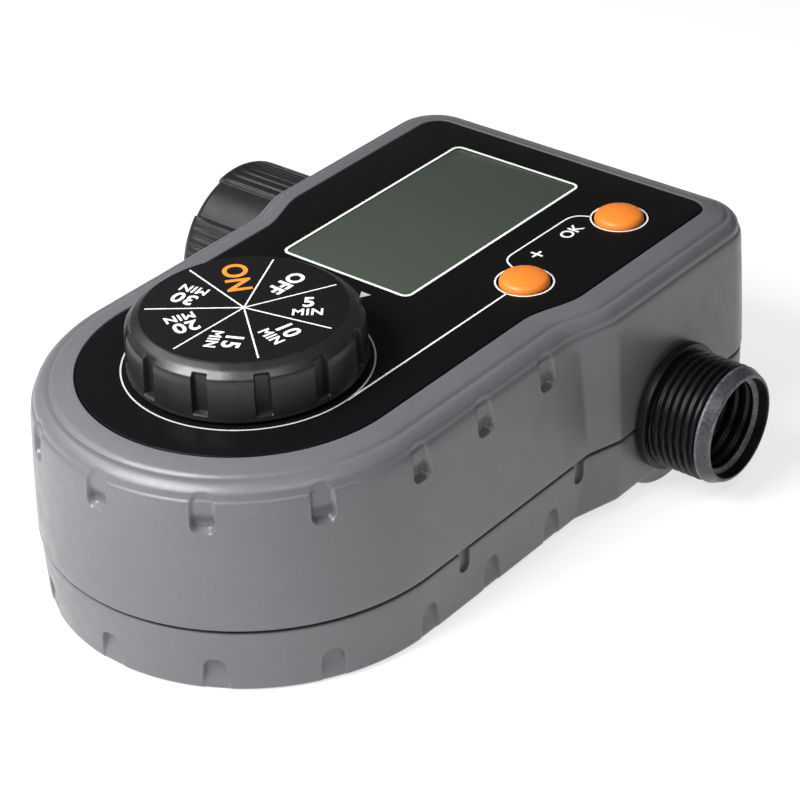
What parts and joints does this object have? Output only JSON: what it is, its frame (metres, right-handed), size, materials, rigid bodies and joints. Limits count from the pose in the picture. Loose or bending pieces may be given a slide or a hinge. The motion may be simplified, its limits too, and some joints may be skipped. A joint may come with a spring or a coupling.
{
  "type": "drip irrigation timer",
  "caption": "Battery tap timer for drip irrigation: round-ended grey case with display, dial and push buttons, swivel inlet collar and threaded outlet on one cross axis.",
  "frame": {"origin": "on the flat back of the case, under the dial's axis", "axes": "+Z out of the face along the dial's axis, +Y towards the square end with the display, +X towards the threaded outlet"},
  "size_m": [0.1432, 0.1616, 0.0664],
  "materials": {
    "housing_grey": "satin moulded plastic, mid grey",
    "faceplate_black": "smooth black overlay, low gloss",
    "black_plastic": "satin black moulded plastic",
    "window_clear": "clear lens",
    "lcd_grey_green": "blank liquid crystal panel",
    "button_orange": "satin orange",
    "seal_rubber": "matt black rubber",
    "white_plastic": "natural white moulding",
    "brass": "turned",
    "steel": "plated",
    "board_green": "circuit board",
    "cell_wrap": "plain wrapped dry cell",
    "lead_red": "red wire cover"
  },
  "bodies": {
    "case": {"ball_seat_inlet": "white_plastic", "ball_seat_outlet": "white_plastic", "battery_1": "cell_wrap", "battery_2": "cell_wrap", "battery_contact_negative": "steel", "battery_contact_positive": "steel", "battery_door": "housing_grey", "battery_lead_black": "black_plastic", "battery_lead_red": "lead_red", "battery_link_contact": "steel", "battery_spring_1": "steel", "battery_spring_2": "steel", "battery_tray": "black_plastic", "case_screw_1": "steel", "case_screw_2": "steel", "case_screw_3": "steel", "case_screw_4": "steel", "case_screw_5": "steel", "case_screw_6": "steel", "collar_retaining_ring": "steel", "dial_seal": "seal_rubber", "drive_motor": "steel", "faceplate": "faceplate_black", "front_cover": "housing_grey", "gear_axle_1": "steel", "gear_axle_2": "steel", "gearbox_base": "black_plastic", "gearbox_cover": "black_plastic", "housing_seal_back": "seal_rubber", "housing_seal_front": "seal_rubber", "inlet_filter": "white_plastic", "inlet_spigot": "black_plastic", "inlet_washer": "seal_rubber", "lcd_connector": "seal_rubber", "lcd_panel": "lcd_grey_green", "lcd_window": "window_clear", "limit_switch": "black_plastic", "main_board": "board_green", "motor_lead_black": "black_plastic", "motor_lead_red": "lead_red", "processor_chip": "black_plastic", "rear_cover": "housing_grey", "rotary_encoder": "steel", "stem_o_ring": "seal_rubber", "tact_switch_ok": "black_plastic", "tact_switch_plus": "black_plastic", "valve_body": "black_plastic"},
    "dial": {"dial_knob": "black_plastic", "dial_label_disc": "faceplate_black", "dial_shaft": "steel"},
    "button_plus_cap": {"button_plus": "button_orange"},
    "button_ok_cap": {"button_ok": "button_orange"},
    "collar": {"inlet_collar": "black_plastic"},
    "valve_rotor": {"valve_ball": "brass", "valve_stem": "brass", "output_gear": "white_plastic"},
    "gear_2": {"idler_gear_2": "white_plastic"},
    "gear_1": {"idler_gear_1": "white_plastic"},
    "motor_rotor": {"motor_pinion": "brass", "motor_shaft": "steel"}
  },
  "joints": [
    {"name": "dial_turn", "type": "hinge", "parent": "case", "child": "dial", "pos_m": [0, 0, 0.0566], "axis": [0, 0, 1], "continuous": true},
    {"name": "button_plus_press", "type": "slide", "parent": "case", "child": "button_plus_cap", "axis": [0, 0, -1], "range_m": [0, 0.0006], "stiffness_N_per_m": 800},
    {"name": "button_ok_press", "type": "slide", "parent": "case", "child": "button_ok_cap", "axis": [0, 0, -1], "range_m": [0, 0.0006], "stiffness_N_per_m": 800},
    {"name": "collar_spin", "type": "hinge", "parent": "case", "child": "collar", "pos_m": [-0.064, 0.08, 0.0147], "axis": [-1, 0, 0], "continuous": true},
    {"name": "valve_turn", "type": "hinge", "parent": "case", "child": "valve_rotor", "pos_m": [0, 0.08, 0.0147], "axis": [0, 0, 1], "range_deg": [0, 90]},
    {"name": "gear_2_spin", "type": "hinge", "parent": "case", "child": "gear_2", "pos_m": [-0.01358, 0.06642, 0.034], "axis": [0, 0, 1], "range_deg": [-272, 2]},
    {"name": "gear_1_spin", "type": "hinge", "parent": "case", "child": "gear_1", "pos_m": [-0.02297, 0.04968, 0.031], "axis": [0, 0, 1], "range_deg": [-2, 812]},
    {"name": "motor_spin", "type": "hinge", "parent": "case", "child": "motor_rotor", "pos_m": [-0.00493, 0.04311, 0.03], "axis": [0, 0, 1], "range_deg": [-2432, 2]}
  ],
  "couplings": [
    {"joint": "gear_2_spin", "follows": "valve_turn", "ratio": -3},
    {"joint": "gear_1_spin", "follows": "valve_turn", "ratio": 9},
    {"joint": "motor_spin", "follows": "valve_turn", "ratio": -27}
  ]
}
